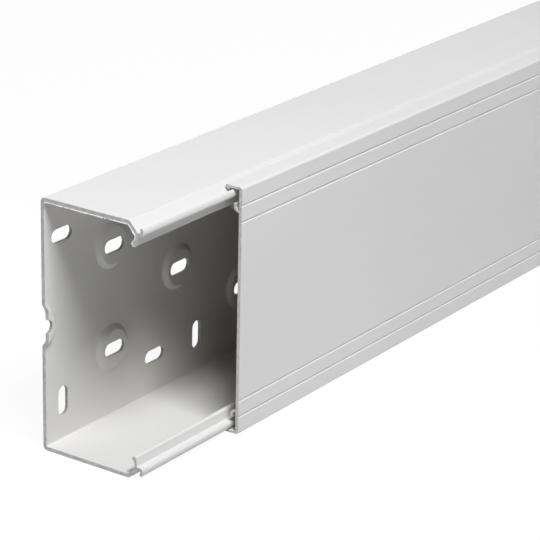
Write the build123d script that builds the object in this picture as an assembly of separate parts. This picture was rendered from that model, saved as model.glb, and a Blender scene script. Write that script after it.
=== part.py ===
from build123d import *
from math import atan2, cos, hypot, radians, tan
import os

# Cord cover raceway: a rigid PVC trunking base channel with its clip-on cover.
# All lengths are in millimetres.
# X runs along the stock, +Y is the side that lies against the wall, -Y is the cover, +Z is up.
# The origin is under the middle of the whole object, on the surface that it stands on.

# Overall sizes
HEIGHT = 120.0            # outer height of the base channel
DEPTH = 60.5              # rear face of the base to the front face of the cover
BASE_LENGTH = 2000.0      # one standard length of base
COVER_LENGTH = 2000.0     # one standard length of cover
COVER_SETBACK = 65.6      # how far the cover starts from the near end of the base

# Base channel walls
WALL = 1.8                # back, top and bottom walls
REAR_RADIUS = 2.2         # outer radius of the two rear corners
REAR_INNER_RADIUS = 0.8   # inner radius of the two rear corners

# Base lips: each has a slope inwards, a web with a bead, and a curved hook that holds the cover
SHOULDER_FROM_FRONT = 11.8    # front face of the cover to the start of the slope
SLOPE = 1.5                   # thickness of the slope
SLOPE_RUN = 4.4               # length of the slope along the depth
SLOPE_DROP = 4.8              # how far the slope goes in from the outer face
WEB = 1.1                     # thickness of the web
WEB_LENGTH = 5.2              # from the foot of the slope to the middle of the bead
BEAD_RADIUS = 1.15            # round bead on the end of the web
HOOK = 1.3                    # thickness of the hook
HOOK_REACH = 3.1              # how far the hook stands in front of the web
HOOK_ROOT = 6.3               # outer face to the inner side of the hook's root
HOOK_CORNER = 1.5             # outer radius between the hook's root and its front
HOOK_RADIUS = 2.8             # outer radius of the bend that the hook ends with
HOOK_CENTRE = 4.2             # outer face to the centre of that bend
HOOK_TURN = 47.5              # degrees that the bend goes on past its foremost point

# Clip-on cover
PLATE = 1.6                     # front plate
FLANGE = 1.2                    # the two flanges that wrap round the lips
COVER_INSET = 0.6               # outer face of the base to the outer face of a flange
COVER_RADIUS = 1.3              # outer radius of the two front corners
COVER_INNER_RADIUS = 0.5        # inner radius of the two front corners
SNAP_DEPTH = 0.95               # how far the snap bead stands in from the flange
CLAW = 1.2                      # thickness of the curved claw behind the plate
CLAW_RADIUS = 2.3               # radius of the claw's bend, at its middle line
CLAW_TIP = 1.2                  # straight end of the claw
GROOVE_WIDTH = 1.2              # V grooves along the front face
GROOVE_DEPTH = 0.5
GROOVE_INSETS = (9.2, 17.0)     # outer face of the base to the middle of each groove

# Clearances between the cover and the base
SNAP_CLEARANCE = 0.9      # back of the hook's tip to the snap bead
SLOPE_CLEARANCE = 1.2     # slope of the lip to the rear edge of the flange, along the depth
CLAW_CLEARANCE = 2.2      # root of the hook to the tip of the claw, along the height

# Fixing slots in the back wall
SLOT_LENGTH = 14.2
SLOT_WIDTH = 6.5
PITCH = 100.0             # every row repeats at this distance
BOSS_BASE = 22.6          # diameter of a pressed boss where it leaves the wall
BOSS_TOP = 18.0           # diameter of its flat top
BOSS_RAISE = 2.0          # how far a boss is pressed into the channel
CENTRE_ROW_START = -4.0   # near end to the first boss of the centre row, which the end cuts
PAIR_START = 47.0         # near end to the first pair of bosses
PAIR_SPACING = 50.0       # between the two bosses of a pair
PLAIN_ROW_INSET = 20.3    # outer face of the channel to each row of plain slots
PLAIN_FIRST = 12.3        # near end to the first plain slots
PLAIN_SECOND = 79.4       # near end to the second plain slots

# Places that follow from the sizes above
TOTAL_LENGTH = max(BASE_LENGTH, COVER_SETBACK + COVER_LENGTH)
BASE_START = -TOTAL_LENGTH / 2
BASE_END = BASE_START + BASE_LENGTH
COVER_START = BASE_START + COVER_SETBACK
REAR = DEPTH / 2
FRONT = -DEPTH / 2
INNER_FACE = REAR - WALL
SHOULDER = FRONT + SHOULDER_FROM_FRONT
WEB_FRONT = SHOULDER - SLOPE_RUN
WEB_BACK = WEB_FRONT + WEB
HOOK_FRONT = WEB_FRONT - HOOK_REACH
HOOK_MIDDLE = HOOK_FRONT + HOOK_RADIUS
HOOK_BACK = HOOK_MIDDLE - (HOOK_RADIUS - HOOK) * cos(radians(HOOK_TURN))
FLANGE_INSIDE = COVER_INSET + FLANGE
FLANGE_REAR = SHOULDER - SLOPE_RUN * FLANGE_INSIDE / SLOPE_DROP - SLOPE_CLEARANCE
SNAP_FRONT = HOOK_BACK + SNAP_CLEARANCE
PLATE_BACK = FRONT + PLATE
CLAW_BEND = HOOK_ROOT + CLAW_CLEARANCE + CLAW_TIP


def block(y_low, y_high, z_low, z_high):
    """A rectangle of the cross-section between two depths and two heights."""
    middle = Pos((y_low + y_high) / 2, (z_low + z_high) / 2)
    return middle * Rectangle(y_high - y_low, z_high - z_low)


def outline(*points):
    """A straight-sided piece of the cross-section through the (y, z) points."""
    return make_face(Polyline(*points, close=True))


def both_edges(sketch):
    """The sketch and its mirror image in the middle of the height."""
    middle = Plane.XZ.offset(-HEIGHT / 2)
    return sketch + mirror(sketch, about=middle)


def base_walls():
    """The back, top and bottom walls, up to the shoulders of the lips."""
    outer = block(SHOULDER, REAR, 0, HEIGHT)
    outer = fillet(outer.vertices().group_by(Axis.X)[-1], REAR_RADIUS)
    inner = block(SHOULDER, INNER_FACE, WALL, HEIGHT - WALL)
    inner = fillet(inner.vertices().group_by(Axis.X)[-1], REAR_INNER_RADIUS)
    return outer - inner


def lip_slope():
    """The slope of the lower lip, as thick as SLOPE all along."""
    along = hypot(SLOPE_RUN, SLOPE_DROP)
    foot = SHOULDER + (SLOPE * along - SLOPE_RUN * WALL) / SLOPE_DROP
    head = (SLOPE * along + SLOPE_DROP * (SHOULDER - WEB_BACK)) / SLOPE_RUN
    return outline(
        (SHOULDER + WALL, 0),
        (SHOULDER, 0),
        (WEB_FRONT, SLOPE_DROP),
        (WEB_FRONT, head),
        (WEB_BACK, head),
        (foot, WALL),
        (SHOULDER + WALL, WALL),
    )


def lip_hook():
    """The hook of the lower lip: a flat root, a rounded corner, and a bend that leans back."""
    root = block(HOOK_FRONT, WEB_BACK, HOOK_ROOT - HOOK, HOOK_ROOT)
    arm = block(HOOK_FRONT, HOOK_FRONT + HOOK, HOOK_CENTRE, HOOK_ROOT)
    corner = (root + arm).vertices().group_by(Axis.X)[0].sort_by(Axis.Y)[-1]
    span = 2 * HOOK_RADIUS
    ring = Circle(HOOK_RADIUS) - Circle(HOOK_RADIUS - HOOK)
    swept = outline((0, 0), (-span, 0), (-span, -span * tan(radians(HOOK_TURN))))
    bend = fillet((ring & swept).vertices().group_by(Axis.Y)[0], HOOK * 0.3)
    return fillet(corner, HOOK_CORNER) + Pos(HOOK_MIDDLE, HOOK_CENTRE) * bend


def base_lip():
    """The lower lip: slope, web with its bead, and hook."""
    web_end = SLOPE_DROP + WEB_LENGTH
    web = block(WEB_FRONT, WEB_BACK, SLOPE_DROP, web_end)
    bead = Pos(WEB_FRONT + BEAD_RADIUS, web_end) * Circle(BEAD_RADIUS)
    return lip_slope() + web + bead + lip_hook()


def boss(x, z):
    """A boss pressed into the channel, with its base on the inside of the back wall."""
    on_wall = Plane.XZ.offset(-INNER_FACE)
    seat = Align.CENTER, Align.CENTER, Align.MIN
    return on_wall * Pos(x, z) * Cone(BOSS_BASE / 2, BOSS_TOP / 2, BOSS_RAISE, align=seat)


def recess(x, z):
    """The hollow behind a boss, which leaves the wall as thick there as elsewhere."""
    rim = WALL * tan(atan2(BOSS_RAISE, (BOSS_BASE - BOSS_TOP) / 2) / 2)
    on_rear = Plane.XZ.offset(-REAR)
    seat = Align.CENTER, Align.CENTER, Align.MIN
    return on_rear * Pos(x, z) * Cone(BOSS_BASE / 2 - rim, BOSS_TOP / 2 - rim, BOSS_RAISE, align=seat)


def slots(places, upright):
    """Slots through the back wall, bosses included."""
    on_rear = Plane.XZ.offset(-REAR - WALL)
    turn = Rotation(0, 0, 90 if upright else 0)
    drawn = [Pos(x, z) * turn * SlotOverall(SLOT_LENGTH, SLOT_WIDTH) for x, z in places]
    return [extrude(on_rear * slot, 3 * WALL + BOSS_RAISE) for slot in drawn]


def row(first, z):
    """Places along the base at the pitch, with those that reach past an end."""
    steps = int((BASE_LENGTH + BOSS_BASE / 2 - first) // PITCH) + 1
    return [(BASE_START + first + PITCH * step, z) for step in range(steps)]


def base_channel():
    """The base: its section carried along its length, with the pressed and slotted back wall."""
    section = base_walls() + both_edges(base_lip())
    channel = extrude(Plane.YZ.offset(BASE_START) * section, BASE_LENGTH)
    middle = HEIGHT / 2
    lower = PLAIN_ROW_INSET
    upper = HEIGHT - PLAIN_ROW_INSET
    pressed = row(CENTRE_ROW_START, middle)
    pressed += row(PAIR_START, middle - PAIR_SPACING / 2)
    pressed += row(PAIR_START, middle + PAIR_SPACING / 2)
    along = row(PLAIN_FIRST, upper) + row(PLAIN_SECOND, lower)
    upright = row(PLAIN_FIRST, lower) + row(PLAIN_SECOND, upper)
    channel += [boss(x, z) for x, z in pressed]
    cuts = [recess(x, z) for x, z in pressed]
    cuts += slots(pressed + along, upright=False)
    cuts += slots(upright, upright=True)
    channel -= cuts
    room = Pos(BASE_START + BASE_LENGTH / 2, 0, middle) * Box(BASE_LENGTH, 2 * DEPTH, 2 * HEIGHT)
    return channel & room


def cover_shell():
    """The front plate and the two flanges."""
    outer = block(FRONT, FLANGE_REAR, COVER_INSET, HEIGHT - COVER_INSET)
    outer = fillet(outer.vertices().group_by(Axis.X)[0], COVER_RADIUS)
    inner = block(PLATE_BACK, FLANGE_REAR, FLANGE_INSIDE, HEIGHT - FLANGE_INSIDE)
    inner = fillet(inner.vertices().group_by(Axis.X)[0], COVER_INNER_RADIUS)
    return outer - inner


def snap_bead():
    """The bead on the lower flange that snaps in behind the hook."""
    return outline(
        (FLANGE_REAR, COVER_INSET + FLANGE / 2),
        (FLANGE_REAR, FLANGE_INSIDE),
        (FLANGE_REAR - SNAP_DEPTH, FLANGE_INSIDE + SNAP_DEPTH),
        (SNAP_FRONT, FLANGE_INSIDE + SNAP_DEPTH),
        (SNAP_FRONT, COVER_INSET + FLANGE / 2),
    )


def claw():
    """The curved claw behind the plate that stops the lower lip from bending in."""
    ring = Circle(CLAW_RADIUS + CLAW / 2) - Circle(CLAW_RADIUS - CLAW / 2)
    quarter = ring & block(-PLATE / 2, CLAW_RADIUS + CLAW, 0, CLAW_RADIUS + CLAW)
    tip = block(CLAW_RADIUS - CLAW / 2, CLAW_RADIUS + CLAW / 2, -CLAW_TIP, 0)
    return Pos(PLATE_BACK, CLAW_BEND) * (quarter + tip)


def groove(inset):
    """A V groove in the front face."""
    half = GROOVE_WIDTH / 2
    return outline((FRONT, inset - half), (FRONT + GROOVE_DEPTH, inset), (FRONT, inset + half))


def clip_on_cover():
    """The cover: its section carried along its length."""
    section = cover_shell() + both_edges(snap_bead() + claw())
    for inset in GROOVE_INSETS:
        section -= both_edges(groove(inset))
    return extrude(Plane.YZ.offset(COVER_START) * section, COVER_LENGTH)


def main():
    """Write each piece as a STEP file named after it."""
    os.makedirs("parts", exist_ok=True)
    pieces = {"base_channel": base_channel(), "clip_on_cover": clip_on_cover()}
    for name, shape in pieces.items():
        solids = shape.solids()
        box = shape.bounding_box()
        print(name, len(solids), "solid", round(shape.volume), box.min, box.max)
        export_step(solids[0] if len(solids) == 1 else shape, f"parts/{name}.step")


if __name__ == "__main__":
    main()
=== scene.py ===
"""Dresses a length of cord cover raceway: a slotted PVC base channel with its clip-on cover."""
import logging
import math
from dataclasses import dataclass, field
from enum import Enum

import bmesh
import bpy
import numpy as np
from mathutils import Matrix, Vector
from mathutils.geometry import delaunay_2d_cdt


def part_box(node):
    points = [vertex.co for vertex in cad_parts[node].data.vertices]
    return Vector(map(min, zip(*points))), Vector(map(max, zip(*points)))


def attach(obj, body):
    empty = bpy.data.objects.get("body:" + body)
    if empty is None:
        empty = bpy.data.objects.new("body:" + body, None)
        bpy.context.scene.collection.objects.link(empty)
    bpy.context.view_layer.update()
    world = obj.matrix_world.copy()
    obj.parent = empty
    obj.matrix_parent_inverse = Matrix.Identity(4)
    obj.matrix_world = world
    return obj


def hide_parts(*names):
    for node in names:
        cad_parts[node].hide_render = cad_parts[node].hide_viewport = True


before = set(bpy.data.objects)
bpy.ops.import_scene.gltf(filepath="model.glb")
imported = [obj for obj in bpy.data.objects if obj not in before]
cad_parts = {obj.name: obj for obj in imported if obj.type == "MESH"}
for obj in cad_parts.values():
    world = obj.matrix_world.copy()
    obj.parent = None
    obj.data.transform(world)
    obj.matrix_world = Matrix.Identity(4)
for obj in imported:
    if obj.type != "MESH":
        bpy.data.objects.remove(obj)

LOG = logging.getLogger("raceway")
MM = 0.001
SMOOTH_UP_TO = math.radians(34)
SMALLEST_TURN = 1e-6
SHORTEST = 1e-9
SAME_PLACE = 1e-7
JOIN_DECIMALS = 7
ON_SEAM = 1e-6
PLAN_TOLERANCE = 1e-5
Socket = bpy.types.NodeSocket


class Surface(Enum):
    """The kinds of surface on a piece, in the order of its material slots."""

    EXTRUDED = 0
    SAWN = 1
    PUNCHED = 2


# Shapes worked out as whole arrays


def rounded_outline(
    corners: np.ndarray, radii: np.ndarray, steps: int = 6, closed: bool = True
) -> np.ndarray:
    """Round the corners of an outline with arcs.

    At each corner the arc's centre lies on the bisector of the two sides, at the radius over the
    sine of half the corner's angle. The arc turns evenly from the radius that meets one side to
    the radius that meets the other, so each point is a mix of those two by the ratio of sines.

    Args:
        corners: N points (y, z), in order.
        radii: N radii, 0 where a corner stays sharp.
        steps: segments in each arc.
        closed: whether the last corner joins the first. If not, both ends stay sharp.

    Returns:
        The points of the rounded outline, with doubles dropped.
    """
    back = np.roll(corners, 1, axis=0) - corners
    ahead = np.roll(corners, -1, axis=0) - corners
    back = back / np.linalg.norm(back, axis=1, keepdims=True)
    ahead = ahead / np.linalg.norm(ahead, axis=1, keepdims=True)
    radii = np.array(radii, float)
    if not closed:
        radii[[0, -1]] = 0
    half = np.arccos(np.clip((back * ahead).sum(axis=1), -1, 1)) / 2
    turn = np.clip(np.pi - 2 * half, SMALLEST_TURN, None)
    middle = back + ahead
    middle = middle / np.clip(np.linalg.norm(middle, axis=1, keepdims=True), SHORTEST, None)
    centre = corners + middle * (radii / np.sin(half))[:, None]
    tangent = (radii / np.tan(half))[:, None]
    first = corners + back * tangent - centre
    last = corners + ahead * tangent - centre
    share = np.linspace(0, 1, steps + 1)[None, :, None]
    angle = turn[:, None, None]
    mixed = np.sin((1 - share) * angle) * first[:, None] + np.sin(share * angle) * last[:, None]
    points = (centre[:, None] + mixed / np.sin(angle)).reshape(-1, 2)
    apart = np.linalg.norm(points - np.roll(points, 1, axis=0), axis=1) > SAME_PLACE
    apart[0] = True
    return points[apart]


def carried(profile: np.ndarray, stations: np.ndarray) -> np.ndarray:
    """Carry a profile straight along X.

    Each point keeps its (y, z) and takes every station's x, which gives a grid of points.

    Args:
        profile: M points (y, z).
        stations: K places along X.

    Returns:
        K by M points (x, y, z).
    """
    grid = np.empty((len(stations), len(profile), 3))
    grid[:, :, 0] = stations[:, None]
    grid[:, :, 1:] = profile[None]
    return grid


def grid_faces(rows: int, columns: int, wrap: bool) -> np.ndarray:
    """Quads between neighbouring points of a grid.

    Args:
        rows: number of rows.
        columns: points in a row.
        wrap: whether each row's last point joins its first.

    Returns:
        Quads as indices into the grid's points, taken row by row.
    """
    number = np.arange(rows * columns).reshape(rows, columns)
    beside = np.roll(number, -1, axis=1) if wrap else number[:, 1:]
    near = number if wrap else number[:, :-1]
    return np.stack([near[:-1], beside[:-1], beside[1:], near[1:]], axis=-1).reshape(-1, 4)


@dataclass
class Shell:
    """Points and faces of one closed skin, gathered surface by surface."""

    points: list = field(default_factory=list)
    faces: list = field(default_factory=list)
    kinds: list = field(default_factory=list)
    count: int = 0

    def add(self, points: np.ndarray, faces: np.ndarray, kind: Surface) -> None:
        """Add a surface.

        Args:
            points: N by 3 points.
            faces: faces with the same number of corners each, as indices into these points.
            kind: the surface's kind.
        """
        self.points.append(points.reshape(-1, 3))
        self.faces.append(faces + self.count)
        self.kinds.append(kind)
        self.count += len(self.points[-1])

    def mesh(self, name: str) -> bpy.types.Mesh:
        """Join the surfaces where their points meet, and put them into a mesh.

        Edges that turn by more than SMOOTH_UP_TO show as sharp ones.

        Args:
            name: the mesh's name.

        Returns:
            The mesh, with its faces pointing outwards.
        """
        every = np.concatenate(self.points)
        rounded = np.round(every, JOIN_DECIMALS)
        _, first, same = np.unique(rounded, axis=0, return_index=True, return_inverse=True)
        same = same.reshape(-1)
        corners = np.concatenate([same[group].reshape(-1) for group in self.faces])
        sizes = np.concatenate([np.full(len(group), group.shape[1]) for group in self.faces])
        kinds = np.concatenate([np.full(len(g), k.value) for g, k in zip(self.faces, self.kinds)])
        mesh = bpy.data.meshes.new(name)
        mesh.vertices.add(len(first))
        mesh.vertices.foreach_set("co", every[first].astype(np.float32).reshape(-1))
        mesh.loops.add(len(corners))
        mesh.loops.foreach_set("vertex_index", corners.astype(np.int32))
        mesh.polygons.add(len(sizes))
        mesh.polygons.foreach_set("loop_start", (np.cumsum(sizes) - sizes).astype(np.int32))
        mesh.polygons.foreach_set("material_index", kinds.astype(np.int32))
        mesh.update(calc_edges=True)
        mesh.validate()
        turn_outwards(mesh)
        mesh.polygons.foreach_set("use_smooth", np.ones(len(mesh.polygons), bool))
        mesh.set_sharp_from_angle(angle=SMOOTH_UP_TO)
        return mesh


def turn_outwards(mesh: bpy.types.Mesh) -> None:
    """Turn a mesh's faces outwards, and warn of edges that leave it open.

    Args:
        mesh: the mesh.
    """
    work = bmesh.new()
    work.from_mesh(mesh)
    bmesh.ops.recalc_face_normals(work, faces=work.faces)
    open_edges = sum(1 for edge in work.edges if not edge.is_manifold)
    if open_edges:
        LOG.warning("%s has %d open edges", mesh.name, open_edges)
    work.to_mesh(mesh)
    work.free()


# Finishes


@dataclass(frozen=True)
class Nodes:
    """A node tree, with short ways to add what the finishes and the studio need."""

    tree: bpy.types.NodeTree

    def add(self, kind: str, **values: str) -> bpy.types.Node:
        """Add a node and set its properties.

        Args:
            kind: the node's type.
            values: its properties.

        Returns:
            The node.
        """
        node = self.tree.nodes.new(kind)
        for key, value in values.items():
            setattr(node, key, value)
        return node

    def link(self, start: Socket, end: Socket) -> None:
        """Join an output to an input.

        Args:
            start: the output.
            end: the input.
        """
        self.tree.links.new(start, end)

    def noise(self, stretch: tuple, scale: float, detail: float, rough: float = 0.5) -> Socket:
        """Noise on the piece's own coordinates.

        Args:
            stretch: how much closer together the pattern is along X, Y and Z.
            scale: the noise's scale.
            detail: octaves.
            rough: how much the finer octaves count.

        Returns:
            The noise's value, an output socket.
        """
        place = self.add("ShaderNodeTexCoord")
        mapping = self.add("ShaderNodeMapping")
        mapping.inputs["Scale"].default_value = stretch
        noise = self.add("ShaderNodeTexNoise")
        noise.inputs["Scale"].default_value = scale
        noise.inputs["Detail"].default_value = detail
        noise.inputs["Roughness"].default_value = rough
        self.link(place.outputs["Object"], mapping.inputs["Vector"])
        self.link(mapping.outputs["Vector"], noise.inputs["Vector"])
        return noise.outputs["Fac"]

    def ranged(self, value: Socket, low: float, high: float, start: float = 0.3, end: float = 0.7) -> Socket:
        """A value moved from one range to another.

        Args:
            value: an output socket.
            low: the result where the value is at start.
            high: the result where the value is at end.
            start: low end of what comes in.
            end: high end of what comes in.

        Returns:
            The result, an output socket.
        """
        ranger = self.add("ShaderNodeMapRange")
        ranger.inputs["From Min"].default_value = start
        ranger.inputs["From Max"].default_value = end
        ranger.inputs["To Min"].default_value = low
        ranger.inputs["To Max"].default_value = high
        self.link(value, ranger.inputs["Value"])
        return ranger.outputs["Result"]

    def blend(self, share: Socket, first: tuple, second: tuple) -> Socket:
        """A colour between two.

        Args:
            share: an output socket, 0 for the first colour and 1 for the second.
            first: the first colour.
            second: the second colour.

        Returns:
            The colour, an output socket.
        """
        mix = self.add("ShaderNodeMix", data_type="RGBA")
        self.link(share, mix.inputs["Factor"])
        mix.inputs["A"].default_value = (*first, 1)
        mix.inputs["B"].default_value = (*second, 1)
        return mix.outputs["Result"]

    def bump(self, height: Socket, strength: float, distance: float, below: Socket | None = None) -> Socket:
        """A bump, on top of another if there is one.

        Args:
            height: an output socket.
            strength: the bump's strength.
            distance: its depth in metres.
            below: another bump's normal, or nothing.

        Returns:
            The normal, an output socket.
        """
        node = self.add("ShaderNodeBump")
        node.inputs["Strength"].default_value = strength
        node.inputs["Distance"].default_value = distance
        self.link(height, node.inputs["Height"])
        if below is not None:
            self.link(below, node.inputs["Normal"])
        return node.outputs["Normal"]


def new_material(name: str) -> tuple[bpy.types.Material, Nodes, bpy.types.Node]:
    """Start a material.

    Args:
        name: its name.

    Returns:
        The material, its nodes and its shader.
    """
    made = bpy.data.materials.new(name)
    made.use_nodes = True
    return made, Nodes(made.node_tree), made.node_tree.nodes["Principled BSDF"]


@dataclass(frozen=True)
class ExtrudedPvc:
    """White rigid PVC as it leaves the die: faint lines along the stock and a soft sheen."""

    name: str
    light: tuple = (0.650, 0.635, 0.599)
    dark: tuple = (0.630, 0.616, 0.581)
    gloss_low: float = 0.48
    gloss_high: float = 0.60
    ior: float = 1.53

    def material(self) -> bpy.types.Material:
        """Build the material.

        Returns:
            The material.
        """
        made, nodes, shader = new_material(self.name)
        shader.inputs["IOR"].default_value = self.ior
        clouds = nodes.noise(stretch=(1, 1, 1), scale=9.0, detail=3.0)
        lines = nodes.noise(stretch=(0.6, 90, 90), scale=6.0, detail=4.0, rough=0.6)
        grain = nodes.noise(stretch=(1, 1, 1), scale=2600.0, detail=2.0)
        waves = nodes.noise(stretch=(1, 6, 6), scale=2.4, detail=1.0)
        colour = nodes.blend(nodes.ranged(clouds, 0, 1), self.light, self.dark)
        nodes.link(colour, shader.inputs["Base Color"])
        nodes.link(nodes.ranged(lines, self.gloss_low, self.gloss_high), shader.inputs["Roughness"])
        normal = nodes.bump(waves, strength=0.35, distance=0.4 * MM)
        normal = nodes.bump(lines, strength=0.30, distance=0.02 * MM, below=normal)
        normal = nodes.bump(grain, strength=0.20, distance=0.01 * MM, below=normal)
        nodes.link(normal, shader.inputs["Normal"])
        return made


@dataclass(frozen=True)
class SawnPvc:
    """The dull grey-white face that a saw leaves, with its fine marks."""

    name: str
    light: tuple
    dark: tuple
    gloss: float = 0.62
    gloss_spread: float = 0.1

    def material(self) -> bpy.types.Material:
        """Build the material.

        Returns:
            The material.
        """
        made, nodes, shader = new_material(self.name)
        marks = nodes.noise(stretch=(1, 900, 60), scale=3.0, detail=3.0, rough=0.65)
        dust = nodes.noise(stretch=(1, 1, 1), scale=420.0, detail=3.0)
        colour = nodes.blend(nodes.ranged(dust, 0, 1, start=0.35, end=0.75), self.light, self.dark)
        nodes.link(colour, shader.inputs["Base Color"])
        rough = nodes.ranged(marks, self.gloss - self.gloss_spread, self.gloss + self.gloss_spread)
        nodes.link(rough, shader.inputs["Roughness"])
        normal = nodes.bump(marks, strength=0.6, distance=0.08 * MM)
        normal = nodes.bump(dust, strength=0.5, distance=0.05 * MM, below=normal)
        nodes.link(normal, shader.inputs["Normal"])
        return made


@dataclass(frozen=True)
class PunchedPvcPaintedShade:
    """The wall of a punched slot, drawn in short streaks through the thickness; its dark colours are painted
    shade for slot walls that lie in shadow.
    """

    name: str
    # Dark colours: painted shade on the slot walls, which lie in shadow.
    light: tuple = (0.42, 0.412, 0.388)
    dark: tuple = (0.24, 0.235, 0.222)
    gloss: float = 0.5
    gloss_spread: float = 0.08

    def material(self) -> bpy.types.Material:
        """Build the material.

        Returns:
            The material.
        """
        made, nodes, shader = new_material(self.name)
        streaks = nodes.noise(stretch=(300, 12, 300), scale=4.0, detail=3.0, rough=0.6)
        colour = nodes.blend(nodes.ranged(streaks, 0, 1), self.light, self.dark)
        nodes.link(colour, shader.inputs["Base Color"])
        rough = nodes.ranged(streaks, self.gloss - self.gloss_spread, self.gloss + self.gloss_spread)
        nodes.link(rough, shader.inputs["Roughness"])
        nodes.link(nodes.bump(streaks, strength=0.5, distance=0.05 * MM), shader.inputs["Normal"])
        return made


@dataclass(frozen=True)
class Finishes:
    """The three finishes of a piece."""

    prefix: str
    sawn_light: tuple = (0.65, 0.632, 0.598)
    sawn_dark: tuple = (0.46, 0.449, 0.427)

    def dress(self, piece: bpy.types.Object) -> None:
        """Give the piece its materials, in the order of Surface.

        Args:
            piece: the piece.
        """
        for finish in (
            ExtrudedPvc(f"{self.prefix}_extruded_pvc"),
            SawnPvc(f"{self.prefix}_sawn_pvc", self.sawn_light, self.sawn_dark),
            PunchedPvcPaintedShade(f"{self.prefix}_punched_pvc_painted_shade"),
        ):
            piece.data.materials.append(finish.material())


def place(name: str, mesh: bpy.types.Mesh, body: str, slot: str, *nodes: str) -> bpy.types.Object:
    """Put a mesh into the scene as a piece of the object.

    Args:
        name: the piece's name.
        mesh: its mesh.
        body: the CAD body it moves with.
        slot: the record's material slot; not used.
        nodes: the CAD nodes that it stands for.

    Returns:
        The piece.
    """
    piece = bpy.data.objects.new(name, mesh)
    bpy.context.scene.collection.objects.link(piece)
    even = piece.modifiers.new("even_normals", "WEIGHTED_NORMAL")
    even.keep_sharp = True
    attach(piece, body)
    if nodes:
        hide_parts(*nodes)
    LOG.info("%s: %d faces on body %s", name, len(mesh.polygons), body)
    return piece


# The base channel


@dataclass(frozen=True)
class Row:
    """A row of slots in the back wall, which repeats at the pitch.

    The first is given from the near end, the level as a height. A pressed row stands on bosses.
    """

    first: float
    level: float
    upright: bool = False
    pressed: bool = False


@dataclass(frozen=True)
class Slots:
    """The fixing slots and pressed bosses of the back wall, in metres from the near end."""

    length: float = 14.2 * MM
    width: float = 6.5 * MM
    pitch: float = 100 * MM
    boss_base: float = 22.6 * MM
    boss_top: float = 18.0 * MM
    boss_raise: float = 2.0 * MM
    ease: float = 0.35 * MM
    rim: float = 0.25 * MM
    centre_start: float = -4.0 * MM
    pair_start: float = 47.0 * MM
    pair_spacing: float = 50 * MM
    plain_inset: float = 20.3 * MM
    plain_first: float = 12.3 * MM
    plain_second: float = 79.4 * MM
    ring_points: int = 40
    cap_points: int = 9
    rim_shares: tuple = (0, 0.13, 0.5, 1, 1.6)
    outside_foot: float = 0.08

    @property
    def reach(self) -> float:
        """From the middle of a slot to the centre of either end."""
        return (self.length - self.width) / 2

    @property
    def flank(self) -> float:
        """Width of a boss's sloping side, with the bends at its foot and top."""
        return (self.boss_base - self.boss_top) / 2 + 2 * self.ease

    @property
    def bend(self) -> float:
        """Share of the side that either of its bends takes."""
        return 2 * self.ease / self.flank

    def rings(self) -> list:
        """Rings round a boss's centre, from just outside its foot up to its top.

        Returns:
            A list of rings, each of points (x, z).
        """
        bend = self.bend
        ramp = np.array([-self.outside_foot, 0, bend / 2, bend, 0.5, 1 - bend, 1 - bend / 2, 1])
        radii = self.boss_base / 2 + self.ease - self.flank * ramp
        turn = np.linspace(0, 2 * np.pi, self.ring_points, endpoint=False)
        ring = np.stack([np.cos(turn), np.sin(turn)], axis=1)
        return [ring * radius for radius in radii]

    def loops(self) -> list:
        """Loops round the middle of a slot that lies along the base, from its edge to past its rounding.

        Returns:
            A list of loops, each of points (x, z).
        """
        end = np.linspace(-np.pi / 2, np.pi / 2, self.cap_points)
        cap = np.stack([np.cos(end), np.sin(end)], axis=1)
        shift = np.array([self.reach, 0])
        sides = [cap * (self.width / 2 + share * self.rim) + shift for share in self.rim_shares]
        return [np.concatenate([side, -side]) for side in sides]


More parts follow.
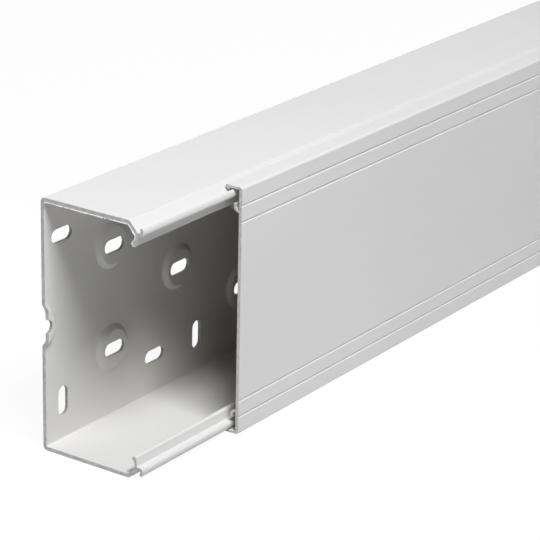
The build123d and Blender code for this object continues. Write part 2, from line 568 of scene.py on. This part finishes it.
@dataclass
class BaseChannel:
    """The base: back wall with its bosses and slots, two walls, and a stepped lip on each."""

    low: Vector
    high: Vector
    front: float
    wall: float = 1.8 * MM
    rear_radius: float = 2.2 * MM
    rear_inner_radius: float = 0.8 * MM
    shoulder_from_front: float = 11.8 * MM
    slope: float = 1.5 * MM
    slope_run: float = 4.4 * MM
    slope_drop: float = 4.8 * MM
    web: float = 1.1 * MM
    web_length: float = 5.2 * MM
    web_lean: float = 0.45 * MM
    bead_radius: float = 1.15 * MM
    hook: float = 1.3 * MM
    hook_reach: float = 3.1 * MM
    hook_root: float = 6.3 * MM
    hook_corner: float = 1.5 * MM
    hook_radius: float = 2.8 * MM
    hook_centre: float = 4.2 * MM
    hook_turn: float = math.radians(47.5)
    hook_points: int = 5
    hook_tip_radius: float = 0.25 * MM
    hook_foot_radius: float = 0.1 * MM
    root_radius: float = 0.2 * MM
    neck_radius: float = 0.15 * MM
    web_radius: float = 0.8 * MM
    foot_radius: float = 1.5 * MM
    shoulder_radius: float = 1.6 * MM
    bead_roundness: float = 0.98
    seam: float = 8.0 * MM
    station_gap: float = 20 * MM
    wall_levels: int = 17
    setback: float = 0.28 * MM
    slots: Slots = field(default_factory=Slots)

    @property
    def height(self) -> float:
        """Outer height."""
        return self.high.z

    @property
    def shoulder(self) -> float:
        """Depth at which the slopes start."""
        return self.front + self.shoulder_from_front

    @property
    def web_front(self) -> float:
        """Depth of the front faces of the webs."""
        return self.shoulder - self.slope_run

    @property
    def hook_middle(self) -> float:
        """Depth of the centre of the hooks' bends."""
        return self.web_front - self.hook_reach + self.hook_radius

    @property
    def hook_back(self) -> float:
        """Depth of the rear side of the hooks' tips."""
        return self.hook_middle - (self.hook_radius - self.hook) * math.cos(self.hook_turn)

    def stations(self) -> np.ndarray:
        """Places along X where the long edges of the surfaces meet.

        The first lies behind the near end by the setback, which is the room for the saw's burr.

        Returns:
            The places, in order.
        """
        count = round((self.high.x - self.low.x) / self.station_gap)
        places = np.linspace(self.low.x, self.high.x, count + 1)
        places[0] += self.setback
        return places

    def half_profile(self) -> np.ndarray:
        """The lower half of the section, from the seam inside the back wall round to the seam outside it.

        Returns:
            Points (y, z), in order.
        """
        rear, inside = self.high.y, self.high.y - self.wall
        shoulder, web_front = self.shoulder, self.web_front
        web_back = web_front + self.web
        hook_front = web_front - self.hook_reach
        along = math.hypot(self.slope_run, self.slope_drop)
        foot = shoulder + (self.slope * along - self.slope_run * self.wall) / self.slope_drop
        head = (self.slope * along + self.slope_drop * (shoulder - web_back)) / self.slope_run
        top = self.slope_drop + self.web_length + self.bead_radius
        bead_front = web_front + self.web_lean
        bead_back = bead_front + 2 * self.bead_radius
        neck = top - 2 * self.bead_radius
        bead = self.bead_roundness * self.bead_radius
        corners = [
            (inside, self.seam, 0),
            (inside, self.wall, self.rear_inner_radius),
            (foot, self.wall, self.foot_radius),
            (web_back, head, self.web_radius),
            (web_back + self.web_lean, neck, self.neck_radius),
            (bead_back, neck, bead),
            (bead_back, top, bead),
            (bead_front, top, bead),
            (bead_front, neck + self.bead_radius, self.root_radius),
            (web_front, self.hook_root, self.root_radius),
            (hook_front, self.hook_root, self.hook_corner),
            *self.bend(self.hook_radius),
            *self.bend(self.hook_radius - self.hook)[::-1],
            (hook_front + self.hook, self.hook_root - self.hook, self.hook_corner - self.hook),
            (web_front, self.hook_root - self.hook, self.hook_foot_radius),
            (web_front, self.slope_drop, self.hook_foot_radius),
            (shoulder, 0, self.shoulder_radius),
            (rear, 0, self.rear_radius),
            (rear, self.seam, 0),
        ]
        table = np.array(corners)
        return rounded_outline(table[:, :2], table[:, 2], closed=False)

    def bend(self, radius: float) -> list:
        """One side of the hook's bend: an arc that ends past the foremost point.

        The angle grows from the centre's level to the hook's turn. A point lies in front of the
        centre by the radius times the cosine, and below it by the radius times the sine.

        Args:
            radius: radius of the arc.

        Returns:
            Points as (y, z, rounding), from the root to the tip.
        """
        angles = np.linspace(0, self.hook_turn, self.hook_points)
        rounding = np.zeros(len(angles))
        rounding[-1] = self.hook_tip_radius
        depths = self.hook_middle - radius * np.cos(angles)
        heights = self.hook_centre - radius * np.sin(angles)
        return list(zip(depths, heights, rounding))

    def rows(self) -> tuple:
        """Every row of slots.

        Returns:
            The rows: first those on bosses, then the plain ones near the corners.
        """
        s = self.slots
        middle, lower, upper = self.height / 2, s.plain_inset, self.height - s.plain_inset
        return (
            Row(s.centre_start, middle, pressed=True),
            Row(s.pair_start, middle - s.pair_spacing / 2, pressed=True),
            Row(s.pair_start, middle + s.pair_spacing / 2, pressed=True),
            Row(s.plain_first, upper),
            Row(s.plain_second, lower),
            Row(s.plain_first, lower, upright=True),
            Row(s.plain_second, upper, upright=True),
        )

    def from_row(self, x: np.ndarray, z: np.ndarray, row: Row) -> tuple:
        """Offsets from the nearest place of a row.

        Args:
            x: places along the base, from its near end.
            z: heights.
            row: the row.

        Returns:
            Offsets along and up.
        """
        pitch = self.slots.pitch
        along = (x - row.first + pitch / 2) % pitch - pitch / 2
        return along, z - row.level

    def slot_distance(self, x: np.ndarray, z: np.ndarray) -> np.ndarray:
        """Distance outside the nearest slot's edge, and below zero inside it.

        A slot is every point within half its width of the straight line between its end centres.

        Args:
            x: places along the base, from its near end.
            z: heights.

        Returns:
            Distances in metres.
        """
        nearest = np.full(x.shape, np.inf)
        for row in self.rows():
            along, up = self.from_row(x, z, row)
            if row.upright:
                along, up = up, along
            past = np.maximum(np.abs(along) - self.slots.reach, 0)
            nearest = np.minimum(nearest, np.hypot(past, up) - self.slots.width / 2)
        return nearest

    def pressed(self, x: np.ndarray, z: np.ndarray, narrower: float) -> np.ndarray:
        """How far the bosses stand out of the wall at each place.

        From foot to top the height is a straight slope whose two ends bend as parabolas.

        Args:
            x: places along the base, from its near end.
            z: heights.
            narrower: how much less than the boss's own its radius is.

        Returns:
            Heights in metres.
        """
        s = self.slots
        foot = s.boss_base / 2 - narrower + s.ease
        bend = s.bend
        height = np.zeros(x.shape)
        for row in (row for row in self.rows() if row.pressed):
            along, up = self.from_row(x, z, row)
            t = np.clip((foot - np.hypot(along, up)) / s.flank, 0, 1)
            low = t**2 / (2 * bend)
            high = 1 - bend - (1 - t) ** 2 / (2 * bend)
            ramp = np.where(t < bend, low, np.where(t > 1 - bend, high, t - bend / 2))
            height = np.maximum(height, s.boss_raise * ramp / (1 - bend))
        return height

    def rim_drop(self, x: np.ndarray, z: np.ndarray) -> np.ndarray:
        """How far the wall's surface falls away where it rounds into a slot, as a quarter circle does.

        Args:
            x: places along the base, from its near end.
            z: heights.

        Returns:
            Depths in metres.
        """
        rim = self.slots.rim
        short = np.clip(rim - self.slot_distance(x, z), 0, rim)
        return rim - np.sqrt(rim**2 - short**2)

    def border(self) -> np.ndarray:
        """The border of the back wall's plan.

        Returns:
            Points (x, z) from the near end, in order.
        """
        x = self.stations() - self.low.x
        z = np.linspace(self.seam, self.height - self.seam, self.wall_levels)
        return np.concatenate(
            [
                np.stack([x, np.full(x.shape, z[0])], axis=1),
                np.stack([np.full(z.shape, x[-1]), z], axis=1)[1:-1],
                np.stack([x, np.full(x.shape, z[-1])], axis=1)[::-1],
                np.stack([np.full(z.shape, x[0]), z], axis=1)[1:-1][::-1],
            ]
        )

    def plan_loops(self) -> list:
        """The closed lines that the plan's triangles have to keep: its border, and those at each slot.

        Returns:
            A list of loops, each of points (x, z) from the near end.
        """
        s = self.slots
        past_end = self.high.x - self.low.x + s.boss_base / 2
        rings, slot_loops = s.rings(), s.loops()
        loops = [self.border()]
        for row in self.rows():
            for place_x in np.arange(row.first, past_end, s.pitch):
                centre = np.array([place_x, row.level])
                if row.pressed:
                    loops += [centre + ring for ring in rings]
                loops += [centre + (loop[:, ::-1] if row.upright else loop) for loop in slot_loops]
        return loops

    def wall_plan(self) -> tuple:
        """Triangulate the flat plan of the back wall, with its slots left out.

        Rings round each boss and loops round each slot are edges of the plan, so that the heights
        can be worked out at its points.

        Returns:
            Points (x, z) from the near end, triangles, and the border edges.
        """
        loops = self.plan_loops()
        starts = np.cumsum([0] + [len(loop) for loop in loops])
        edges = np.concatenate(
            [
                np.stack([np.arange(len(loop)), np.roll(np.arange(len(loop)), -1)], axis=1) + start
                for loop, start in zip(loops, starts)
            ]
        )
        flat = np.concatenate(loops)
        found = delaunay_2d_cdt([Vector(p) for p in flat / MM], edges.tolist(), [], 0, PLAN_TOLERANCE, False)
        points = np.array([tuple(p) for p in found[0]]) * MM
        triangles = np.array(found[2])
        middle = points[triangles].mean(axis=1)
        inside = (middle[:, 0] > self.setback) & (middle[:, 0] < self.high.x - self.low.x)
        inside &= self.slot_distance(middle[:, 0], middle[:, 1]) > 0
        used, triangles = np.unique(triangles[inside], return_inverse=True)
        points, triangles = points[used], triangles.reshape(-1, 3)
        sides = np.concatenate([triangles[:, [0, 1]], triangles[:, [1, 2]], triangles[:, [2, 0]]])
        _, where, uses = np.unique(np.sort(sides, axis=1), axis=0, return_index=True, return_counts=True)
        return points, triangles, sides[where[uses == 1]]

    def back_wall(self, shell: Shell) -> None:
        """Add the back wall between the seams: two faces, the slots' walls and its two ends.

        Args:
            shell: the shell to add to.
        """
        s = self.slots
        points, triangles, edges = self.wall_plan()
        x, z = points[:, 0], points[:, 1]
        slope = math.atan2(s.boss_raise, (s.boss_base - s.boss_top) / 2)
        narrower = self.wall * math.tan(slope / 2)
        drop = self.rim_drop(x, z)
        inner = self.high.y - self.wall - self.pressed(x, z, 0) + drop
        outer = self.high.y - self.pressed(x, z, narrower) - drop
        count = len(points)
        both = np.concatenate([np.stack([x + self.low.x, y, z], axis=1) for y in (inner, outer)])
        shell.add(both, np.concatenate([triangles, triangles[:, ::-1] + count]), Surface.EXTRUDED)
        middle = points[edges].mean(axis=1)
        on_slot = self.slot_distance(middle[:, 0], middle[:, 1]) < s.rim / 2
        seam = np.abs(middle[:, 1] - self.seam) < ON_SEAM
        seam |= np.abs(middle[:, 1] - self.height + self.seam) < ON_SEAM
        joined = np.concatenate([edges, edges[:, ::-1] + count], axis=1)
        shell.add(both, joined[on_slot], Surface.PUNCHED)
        shell.add(both, joined[~on_slot & ~seam], Surface.SAWN)

    def build(self) -> bpy.types.Object:
        """Build the whole base as one closed mesh.

        Returns:
            The base's piece.
        """
        shell = Shell()
        lower = self.half_profile()
        upper = lower * [1, -1] + [0, self.height]
        stations = self.stations()
        for profile in (lower, upper):
            grid = carried(profile, stations)
            shell.add(grid, grid_faces(len(stations), len(profile), wrap=False), Surface.EXTRUDED)
            ends = np.arange(len(profile))[None]
            shell.add(grid[0], ends, Surface.SAWN)
            shell.add(grid[-1], ends, Surface.SAWN)
        self.back_wall(shell)
        mesh = shell.mesh("base_channel_skin")
        piece = place("base_channel_skin", mesh, "base", "base_pvc", "base_channel")
        Finishes("base").dress(piece)
        past_bead = np.argmax(upper[:, 0] < self.web_front + self.bead_radius / 3)
        inner_edge = upper[:past_bead]
        SawBurr(self.low.x, self.low.x + self.setback, inner_edge).build()
        return piece


@dataclass
class SawBurr:
    """The thin torn edge that the saw leaves round the inside of the top wall at the base's near end.

    Its size goes up and down by the ragged share, mostly in long waves, and drops in nicks. Its colours are
    whiter than the PVC it is torn from, a painted highlight along the torn edge.
    """

    tip_x: float
    face_x: float
    edge: np.ndarray
    reach: float = 0.62 * MM
    ragged: float = 0.7
    long_share: float = 0.6
    long_wave: int = 9
    short_wave: int = 2
    nick_wave: int = 4
    nicked: float = 0.28
    nick_size: float = 0.25
    fade_points: int = 6
    root: float = 0.15 * MM
    depth: float = 0.3 * MM
    overlap: float = 0.03 * MM
    lift: float = 0.02 * MM
    step: float = 0.3 * MM
    # Whiter than the PVC: painted highlight on the torn edge.
    light: tuple = (0.94, 0.92, 0.87)
    dark: tuple = (0.86, 0.84, 0.80)
    seed: int = 5

    def spread_out(self) -> tuple:
        """Points along the edge at even steps, and the directions that lead away from the wall there.

        The direction away from the wall is the edge's own direction turned by a right angle.

        Returns:
            Points (y, z) and directions (y, z).
        """
        steps = np.linalg.norm(np.diff(self.edge, axis=0), axis=1)
        along = np.concatenate([[0], np.cumsum(steps)])
        places = np.linspace(0, along[-1], round(along[-1] / self.step))
        points = np.stack([np.interp(places, along, self.edge[:, axis]) for axis in (0, 1)], axis=1)
        ahead = np.gradient(points, axis=0)
        ahead = ahead / np.linalg.norm(ahead, axis=1, keepdims=True)
        return points, np.stack([-ahead[:, 1], ahead[:, 0]], axis=1)

    def noise(self, count: int, width: int) -> np.ndarray:
        """Random numbers from 0 to 1, each the mean of its neighbours, the same on every run.

        Args:
            count: how many.
            width: how many neighbours go into a mean.

        Returns:
            The numbers.
        """
        loose = np.random.default_rng(self.seed + width).random(count + width)
        even = np.convolve(loose, np.ones(width) / width, mode="valid")[:count]
        return (even - even.min()) / (even.max() - even.min())

    def sizes(self, count: int) -> np.ndarray:
        """The burr's size at each point along the edge, as a share of its full size.

        Args:
            count: how many points.

        Returns:
            The shares, which fade to nothing at both ends.
        """
        number = np.arange(count)
        fade = np.clip(np.minimum(number, number[::-1]) / self.fade_points, 0, 1)
        waves = self.long_share * self.noise(count, self.long_wave)
        waves = waves + (1 - self.long_share) * self.noise(count, self.short_wave)
        size = fade * (1 - self.ragged * waves)
        return np.where(self.noise(count, self.nick_wave) < self.nicked, self.nick_size * size, size)

    def build(self) -> bpy.types.Object:
        """Build the burr as one closed strip of triangular section.

        Returns:
            The burr's piece.
        """
        points, away = self.spread_out()
        count = len(points)
        size = self.sizes(count)
        rows = np.empty((count, 3, 3))
        rows[:, 0, 0] = self.face_x + self.lift
        rows[:, 1, 0] = self.face_x + (self.tip_x - self.face_x) * size
        rows[:, 2, 0] = self.face_x + self.depth
        rows[:, 0, 1:] = points - away * self.root
        rows[:, 1, 1:] = points + away * (self.reach * size)[:, None]
        rows[:, 2, 1:] = points - away * self.overlap
        shell = Shell()
        shell.add(rows, grid_faces(count, 3, wrap=True), Surface.EXTRUDED)
        shell.add(rows[[0, -1]], np.arange(6).reshape(2, 3), Surface.EXTRUDED)
        mesh = shell.mesh("saw_burr_skin")
        piece = place("saw_burr_skin", mesh, "base", "base_pvc")
        piece.data.materials.append(SawnPvc("saw_burr_painted_highlight_pvc", self.light, self.dark).material())
        return piece


# The clip-on cover


@dataclass
class ClipOnCover:
    """The cover: front plate with V grooves, flanges with snap beads, and two claws."""

    low: Vector
    high: Vector
    base_height: float
    hook_back: float
    plate: float = 1.6 * MM
    flange: float = 1.2 * MM
    radius: float = 1.3 * MM
    inner_radius: float = 0.5 * MM
    snap_depth: float = 0.95 * MM
    snap_clearance: float = 0.9 * MM
    claw: float = 1.2 * MM
    claw_radius: float = 2.3 * MM
    claw_tip: float = 1.2 * MM
    claw_bend: float = 9.7 * MM
    groove_width: float = 1.2 * MM
    groove_depth: float = 0.5 * MM
    groove_insets: tuple = (9.2 * MM, 17.0 * MM)
    groove_edge: float = 0.12 * MM
    groove_bottom: float = 0.08 * MM
    flange_edge: float = 0.4 * MM
    flange_inner_edge: float = 0.1 * MM
    snap_rear_edge: float = 0.25 * MM
    snap_front_edge: float = 0.3 * MM
    snap_foot: float = 0.2 * MM
    claw_inner_foot: float = 0.02 * MM
    claw_edge: float = 0.3 * MM
    claw_roundness: float = 0.97
    station_count: int = 101

    def half_profile(self) -> np.ndarray:
        """The lower half of the section, from the middle of the front round to the middle of the back.

        Returns:
            Corners (y, z) with their radii, in order.
        """
        front, rear, bottom = self.low.y, self.high.y, self.low.z
        back = front + self.plate
        inside = bottom + self.flange
        snap_front = self.hook_back + self.snap_clearance
        snap_top = inside + self.snap_depth
        half = self.claw / 2
        bend = self.claw_bend
        near, far = self.claw_radius - half, self.claw_radius + half
        corners = []
        for inset in sorted(self.groove_insets, reverse=True):
            corners += [
                (front, inset + self.groove_width / 2, self.groove_edge),
                (front + self.groove_depth, inset, self.groove_bottom),
                (front, inset - self.groove_width / 2, self.groove_edge),
            ]
        corners += [
            (front, bottom, self.radius),
            (rear, bottom, self.flange_edge),
            (rear, inside, self.flange_inner_edge),
            (rear - self.snap_depth, snap_top, self.snap_rear_edge),
            (snap_front, snap_top, self.snap_front_edge),
            (snap_front, inside, self.snap_foot),
            (back, inside, self.inner_radius),
            (back, bend + near, self.claw_inner_foot),
            (back + near, bend + near, near * self.claw_roundness),
            (back + near, bend - self.claw_tip, self.claw_edge),
            (back + far, bend - self.claw_tip, self.claw_edge),
            (back + far, bend + far, far * self.claw_roundness),
            (back, bend + far, self.claw_edge),
        ]
        return np.array(corners)

    def build(self) -> bpy.types.Object:
        """Build the cover as one closed mesh.

        Returns:
            The cover's piece.
        """
        lower = self.half_profile()
        upper = lower[::-1] * [1, -1, 1] + [0, self.base_height, 0]
        table = np.concatenate([lower, upper])
        profile = rounded_outline(table[:, :2], table[:, 2])
        stations = np.linspace(self.low.x, self.high.x, self.station_count)
        grid = carried(profile, stations)
        shell = Shell()
        shell.add(grid, grid_faces(len(stations), len(profile), wrap=True), Surface.EXTRUDED)
        ends = np.arange(len(profile))[None]
        shell.add(grid[0], ends, Surface.SAWN)
        shell.add(grid[-1], ends, Surface.SAWN)
        mesh = shell.mesh("clip_on_cover_skin")
        piece = place("clip_on_cover_skin", mesh, "cover", "cover_pvc", "clip_on_cover")
        Finishes("cover").dress(piece)
        return piece


# The studio


@dataclass(frozen=True)
class Softbox:
    """A soft rectangular lamp, placed from the base's near end, with its power in watts.

    Its spread is the angle of its beam in degrees.
    """

    name: str
    at: tuple
    aim: tuple
    size: tuple
    power: float
    spread: float = 180
    colour: tuple = (0.92, 0.94, 1.0)

    def build(self, near_end: Vector) -> None:
        """Add the lamp.

        Args:
            near_end: where the base's near end stands.
        """
        data = bpy.data.lights.new(self.name, "AREA")
        data.color = self.colour
        data.spread = math.radians(self.spread)
        data.shape = "RECTANGLE"
        data.size, data.size_y = self.size
        data.energy = self.power
        lamp = bpy.data.objects.new(self.name, data)
        lamp.location = near_end + Vector(self.at)
        lamp.rotation_mode = "QUATERNION"
        lamp.rotation_quaternion = (Vector(self.aim) - Vector(self.at)).to_track_quat("-Z", "Y")
        bpy.context.scene.collection.objects.link(lamp)


@dataclass(frozen=True)
class Studio:
    """Pale floor, soft lamps and the camera, placed from the base's near end."""

    near_end: Vector
    lens: float = 171.24
    sensor: float = 36.0
    clip_start: float = 0.05
    eye: tuple = (-0.8047, -0.6808, 0.4850)
    forward: tuple = (0.7683, 0.5337, -0.3535)
    level_right: tuple = (0.5705, -0.8213, 0.0)
    level_up: tuple = (0.2903, 0.2017, 0.9355)
    roll: float = math.radians(1.25)
    floor_side: float = 30.0
    floor_glow: float = 0.94
    floor_bounce: float = 0.58
    floor_roughness: float = 0.9
    lamps: tuple = (
        Softbox("near_softbox", (-0.35, -0.78, 1.50), (0.0, 0.0, 0.05), (0.75, 0.42), power=41),
        Softbox("far_softbox", (2.4, -0.8, 1.6), (2.3, 0.0, 0.05), (1.0, 0.5), power=10, spread=90),
        Softbox("slid_cover_softbox", (3.8, -0.8, 1.6), (3.7, 0.0, 0.05), (1.2, 0.5), power=12, spread=90),
        Softbox("back_softbox", (1.2, 2.3, 0.45), (1.0, 0.0, 0.05), (2.2, 0.4), power=22),
        Softbox(
            "slid_cover_back_softbox", (3.2, 2.3, 0.45), (3.1, 0.0, 0.05), (1.6, 0.4), power=12, spread=100
        ),
    )

    def camera(self) -> None:
        """Place the camera where the photograph was taken from."""
        right = math.cos(self.roll) * Vector(self.level_right) + math.sin(self.roll) * Vector(self.level_up)
        up = Vector(self.forward).cross(right) * -1
        backward = -Vector(self.forward).normalized()
        turned = Matrix((right.normalized(), up.normalized(), backward)).transposed()
        data = bpy.data.cameras.new("photo_camera")
        data.lens = self.lens
        data.sensor_width = self.sensor
        data.clip_start = self.clip_start
        camera = bpy.data.objects.new("photo_camera", data)
        camera.matrix_world = Matrix.Translation(self.near_end + Vector(self.eye)) @ turned.to_4x4()
        bpy.context.scene.collection.objects.link(camera)
        bpy.context.scene.camera = camera

    def seen_white(self, nodes: Nodes) -> Socket:
        """1 for the rays that should see plain white: the camera's, reflected and see-through ones.

        Args:
            nodes: the node tree to add to.

        Returns:
            An output socket.
        """
        path = nodes.add("ShaderNodeLightPath")
        total = path.outputs["Is Camera Ray"]
        for name in ("Is Glossy Ray", "Is Transmission Ray"):
            larger = nodes.add("ShaderNodeMath", operation="MAXIMUM")
            nodes.link(total, larger.inputs[0])
            nodes.link(path.outputs[name], larger.inputs[1])
            total = larger.outputs[0]
        return total

    def world(self) -> None:
        """Show plain white behind the scene, which throws no light on it."""
        world = bpy.data.worlds.new("studio")
        world.use_nodes = True
        bpy.context.scene.world = world
        nodes = Nodes(world.node_tree)
        background = world.node_tree.nodes["Background"]
        background.inputs["Color"].default_value = (1, 1, 1, 1)
        nodes.link(self.seen_white(nodes), background.inputs["Strength"])

    def floor(self) -> None:
        """Lay a pale floor that keeps a faint shadow.

        It looks plain white by the share of its glow, and throws back light by that of its bounce.
        """
        mesh = bpy.data.meshes.new("floor")
        side = self.floor_side
        corners = [(-side, -side, 0), (side, -side, 0), (side, side, 0), (-side, side, 0)]
        mesh.from_pydata(corners, [], [(0, 1, 2, 3)])
        floor = bpy.data.objects.new("floor", mesh)
        bpy.context.scene.collection.objects.link(floor)
        paper, nodes, shader = new_material("floor_paper")
        seen = self.seen_white(nodes)
        nodes.link(nodes.blend(seen, (self.floor_bounce,) * 3, (1, 1, 1)), shader.inputs["Base Color"])
        shader.inputs["Roughness"].default_value = self.floor_roughness
        shader.inputs["Specular IOR Level"].default_value = 0.0
        white = nodes.add("ShaderNodeEmission")
        mix = nodes.add("ShaderNodeMixShader")
        share = nodes.add("ShaderNodeMath", operation="MULTIPLY")
        share.inputs[1].default_value = self.floor_glow
        nodes.link(seen, share.inputs[0])
        nodes.link(share.outputs[0], mix.inputs["Fac"])
        nodes.link(shader.outputs["BSDF"], mix.inputs[1])
        nodes.link(white.outputs["Emission"], mix.inputs[2])
        nodes.link(mix.outputs["Shader"], paper.node_tree.nodes["Material Output"].inputs["Surface"])
        mesh.materials.append(paper)

    def build(self) -> None:
        """Set up the whole studio."""
        bpy.context.scene.view_settings.view_transform = "Standard"
        self.camera()
        self.world()
        self.floor()
        for lamp in self.lamps:
            lamp.build(self.near_end)


def main() -> None:
    """Build every piece and the studio."""
    logging.basicConfig(level=logging.INFO, format="%(name)s %(message)s")
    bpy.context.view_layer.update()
    base_low, base_high = (Vector(corner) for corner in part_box("base_channel"))
    cover_low, cover_high = (Vector(corner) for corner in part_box("clip_on_cover"))
    base = BaseChannel(base_low, base_high, cover_low.y)
    base.build()
    ClipOnCover(cover_low, cover_high, base.height, base.hook_back).build()
    Studio(Vector((base_low.x, base_high.y, 0))).build()


if __name__ == "__main__":
    main()
